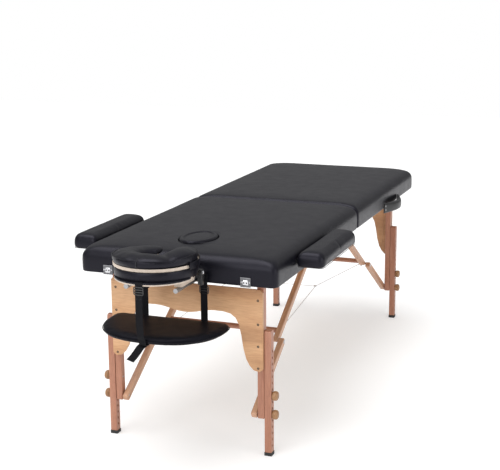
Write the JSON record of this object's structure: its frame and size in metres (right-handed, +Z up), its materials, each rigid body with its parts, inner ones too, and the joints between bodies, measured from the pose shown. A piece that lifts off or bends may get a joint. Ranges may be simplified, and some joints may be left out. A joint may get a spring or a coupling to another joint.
{
  "type": "portable massage table",
  "caption": "Portable folding massage table with wooden legs, padded top, headrest, armrests and an arm shelf in a strap sling.",
  "frame": {"origin": "floor point under the middle of the table's footprint, headrest and armrests included", "axes": "+Z up, +Y towards the foot end, X across the table, with the right armrest at +X"},
  "size_m": [0.953, 2.2178, 0.77],
  "materials": {
    "black_vinyl": "satin",
    "beech": "satin lacquer",
    "pale_beech": "satin lacquer",
    "panel_plywood": "satin lacquer",
    "deck_plywood": "matte",
    "plate_plywood": "satin lacquer",
    "knob_wood": "satin lacquer",
    "black_rubber": "matte",
    "steel": "satin",
    "chrome": "polished",
    "aluminium": "satin",
    "black_plastic": "satin",
    "black_webbing": "woven"
  },
  "bodies": {
    "head_half": {"head_frame": "pale_beech", "head_deck": "deck_plywood", "head_cushion": "black_vinyl", "hinge_leaf_head": "steel"},
    "hinge_core": {"hinge_pin": "steel", "support_cable": "steel"},
    "foot_half": {"foot_frame": "pale_beech", "foot_deck": "deck_plywood", "foot_cushion": "black_vinyl", "hinge_leaf_foot": "steel"},
    "head_legs": {"leg_post_head_left": "beech", "leg_post_head_right": "beech", "end_panel_head": "panel_plywood"},
    "head_upper_brace": {"upper_brace_head_left": "pale_beech", "upper_brace_head_right": "pale_beech", "crossbar_head": "beech"},
    "head_lower_brace": {"lower_brace_head_left": "pale_beech", "lower_brace_head_right": "pale_beech"},
    "extension_head_left": {"leg_extension_head_left": "beech", "rubber_foot_head_left": "black_rubber"},
    "knob_lower_head_left_turn": {"knob_lower_head_left": "knob_wood"},
    "knob_upper_head_left_turn": {"knob_upper_head_left": "knob_wood"},
    "extension_head_right": {"leg_extension_head_right": "beech", "rubber_foot_head_right": "black_rubber"},
    "knob_lower_head_right_turn": {"knob_lower_head_right": "knob_wood"},
    "knob_upper_head_right_turn": {"knob_upper_head_right": "knob_wood"},
    "foot_legs": {"leg_post_foot_left": "beech", "leg_post_foot_right": "beech", "end_panel_foot": "panel_plywood"},
    "foot_upper_brace": {"upper_brace_foot_left": "pale_beech", "upper_brace_foot_right": "pale_beech", "crossbar_foot": "beech"},
    "foot_lower_brace": {"lower_brace_foot_left": "pale_beech", "lower_brace_foot_right": "pale_beech"},
    "extension_foot_left": {"leg_extension_foot_left": "beech", "rubber_foot_foot_left": "black_rubber"},
    "knob_lower_foot_left_turn": {"knob_lower_foot_left": "knob_wood"},
    "knob_upper_foot_left_turn": {"knob_upper_foot_left": "knob_wood"},
    "extension_foot_right": {"leg_extension_foot_right": "beech", "rubber_foot_foot_right": "black_rubber"},
    "knob_lower_foot_right_turn": {"knob_lower_foot_right": "knob_wood"},
    "knob_upper_foot_right_turn": {"knob_upper_foot_right": "knob_wood"},
    "headrest_base": {"headrest_base_plate": "plate_plywood", "headrest_spacer_pad": "black_vinyl", "headrest_rod_left": "aluminium", "headrest_rod_right": "aluminium", "arm_shelf": "black_vinyl", "sling_strap_rear": "black_webbing", "sling_strap_front": "black_webbing"},
    "headrest_top": {"headrest_platform": "plate_plywood", "headrest_cushion": "black_vinyl"},
    "headrest_lever": {"headrest_cam_lever": "black_plastic"},
    "face_plug": {"face_hole_plug": "black_vinyl"},
    "armrest_left": {"armrest_pad_left": "black_vinyl", "armrest_board_left": "plate_plywood"},
    "latch_left_turn": {"latch_left": "chrome"},
    "armrest_right": {"armrest_pad_right": "black_vinyl", "armrest_board_right": "plate_plywood"},
    "latch_right_turn": {"latch_right": "chrome"},
    "handle": {"carry_handle": "black_plastic"}
  },
  "joints": [
    {"name": "tabletop_fold", "type": "hinge", "parent": "head_half", "child": "hinge_core", "pos_m": [0.0185, 0.1464, 0.6155], "axis": [-1, 0, 0], "range_deg": [0, 125], "deforming": ["support_cable"]},
    {"name": "closing_fold", "type": "hinge", "parent": "hinge_core", "child": "foot_half", "pos_m": [0.0185, 0.1464, 0.6155], "axis": [-1, 0, 0], "range_deg": [0, 55]},
    {"name": "head_leg_fold", "type": "hinge", "parent": "head_half", "child": "head_legs", "pos_m": [0.0185, -0.7196, 0.645], "axis": [1, 0, 0], "range_deg": [0, 90]},
    {"name": "head_upper_brace_fold", "type": "hinge", "parent": "head_half", "child": "head_upper_brace", "pos_m": [0.0185, 0.0764, 0.645], "axis": [-1, 0, 0], "range_deg": [0, 31.99]},
    {"name": "head_lower_brace_fold", "type": "hinge", "parent": "head_legs", "child": "head_lower_brace", "pos_m": [0.0185, -0.7196, 0.148], "axis": [1, 0, 0], "range_deg": [0, 58.03]},
    {"name": "leg_height_head_left", "type": "slide", "parent": "head_legs", "child": "extension_head_left", "axis": [0, 0, -1], "range_m": [-0.1125, 0.1575]},
    {"name": "knob_lower_head_left_spin", "type": "hinge", "parent": "head_legs", "child": "knob_lower_head_left_turn", "pos_m": [-0.2885, -0.7196, 0.148], "axis": [-1, 0, 0], "continuous": true},
    {"name": "knob_upper_head_left_spin", "type": "hinge", "parent": "head_legs", "child": "knob_upper_head_left_turn", "pos_m": [-0.2885, -0.7196, 0.2155], "axis": [-1, 0, 0], "continuous": true},
    {"name": "leg_height_head_right", "type": "slide", "parent": "head_legs", "child": "extension_head_right", "axis": [0, 0, -1], "range_m": [-0.1125, 0.1575]},
    {"name": "knob_lower_head_right_spin", "type": "hinge", "parent": "head_legs", "child": "knob_lower_head_right_turn", "pos_m": [0.3255, -0.7196, 0.148], "axis": [1, 0, 0], "continuous": true},
    {"name": "knob_upper_head_right_spin", "type": "hinge", "parent": "head_legs", "child": "knob_upper_head_right_turn", "pos_m": [0.3255, -0.7196, 0.2155], "axis": [1, 0, 0], "continuous": true},
    {"name": "foot_leg_fold", "type": "hinge", "parent": "foot_half", "child": "foot_legs", "pos_m": [0.0185, 1.0124, 0.645], "axis": [-1, 0, 0], "range_deg": [0, 90]},
    {"name": "foot_upper_brace_fold", "type": "hinge", "parent": "foot_half", "child": "foot_upper_brace", "pos_m": [0.0185, 0.2164, 0.645], "axis": [1, 0, 0], "range_deg": [0, 31.99]},
    {"name": "foot_lower_brace_fold", "type": "hinge", "parent": "foot_legs", "child": "foot_lower_brace", "pos_m": [0.0185, 1.0124, 0.148], "axis": [-1, 0, 0], "range_deg": [0, 58.03]},
    {"name": "leg_height_foot_left", "type": "slide", "parent": "foot_legs", "child": "extension_foot_left", "axis": [0, 0, -1], "range_m": [-0.1125, 0.1575]},
    {"name": "knob_lower_foot_left_spin", "type": "hinge", "parent": "foot_legs", "child": "knob_lower_foot_left_turn", "pos_m": [-0.2885, 1.0124, 0.148], "axis": [-1, 0, 0], "continuous": true},
    {"name": "knob_upper_foot_left_spin", "type": "hinge", "parent": "foot_legs", "child": "knob_upper_foot_left_turn", "pos_m": [-0.2885, 1.0124, 0.2155], "axis": [-1, 0, 0], "continuous": true},
    {"name": "leg_height_foot_right", "type": "slide", "parent": "foot_legs", "child": "extension_foot_right", "axis": [0, 0, -1], "range_m": [-0.1125, 0.1575]},
    {"name": "knob_lower_foot_right_spin", "type": "hinge", "parent": "foot_legs", "child": "knob_lower_foot_right_turn", "pos_m": [0.3255, 1.0124, 0.148], "axis": [1, 0, 0], "continuous": true},
    {"name": "knob_upper_foot_right_spin", "type": "hinge", "parent": "foot_legs", "child": "knob_upper_foot_right_turn", "pos_m": [0.3255, 1.0124, 0.2155], "axis": [1, 0, 0], "continuous": true},
    {"name": "headrest_pull_out", "type": "slide", "parent": "head_half", "child": "headrest_base", "axis": [0, -1, 0], "range_m": [0, 0.08]},
    {"name": "headrest_tilt", "type": "hinge", "parent": "headrest_base", "child": "headrest_top", "pos_m": [0.0185, -0.8486, 0.7105], "axis": [-1, 0, 0], "range_deg": [0, 20]},
    {"name": "cam_lever_turn", "type": "hinge", "parent": "headrest_base", "child": "headrest_lever", "pos_m": [0.1197, -0.8596, 0.664], "axis": [-1, 0, 0], "range_deg": [0, 90]},
    {"name": "face_plug_lift", "type": "slide", "parent": "head_half", "child": "face_plug", "axis": [0, 0, 1], "range_m": [0, 0.06]},
    {"name": "armrest_slide_left", "type": "slide", "parent": "head_half", "child": "armrest_left", "axis": [1, 0, 0], "range_m": [0, 0.037]},
    {"name": "latch_left_swing", "type": "hinge", "parent": "head_half", "child": "latch_left_turn", "pos_m": [-0.2315, -0.81975, 0.646], "axis": [-1, 0, 0], "range_deg": [0, 100]},
    {"name": "armrest_slide_right", "type": "slide", "parent": "head_half", "child": "armrest_right", "axis": [1, 0, 0], "range_m": [0, 0.037]},
    {"name": "latch_right_swing", "type": "hinge", "parent": "head_half", "child": "latch_right_turn", "pos_m": [0.2685, -0.81975, 0.646], "axis": [-1, 0, 0], "range_deg": [0, 100]},
    {"name": "handle_swing", "type": "hinge", "parent": "foot_half", "child": "handle", "pos_m": [0.376, 0.6789, 0.644], "axis": [0, -1, 0], "range_deg": [0, 60]}
  ],
  "couplings": [
    {"joint": "head_leg_fold", "follows": "tabletop_fold", "ratio": 0.72},
    {"joint": "head_upper_brace_fold", "follows": "tabletop_fold", "ratio": 0.25584},
    {"joint": "head_lower_brace_fold", "follows": "tabletop_fold", "ratio": 0.46416},
    {"joint": "foot_leg_fold", "follows": "tabletop_fold", "ratio": 0.72},
    {"joint": "foot_upper_brace_fold", "follows": "tabletop_fold", "ratio": 0.25584},
    {"joint": "foot_lower_brace_fold", "follows": "tabletop_fold", "ratio": 0.46416}
  ]
}
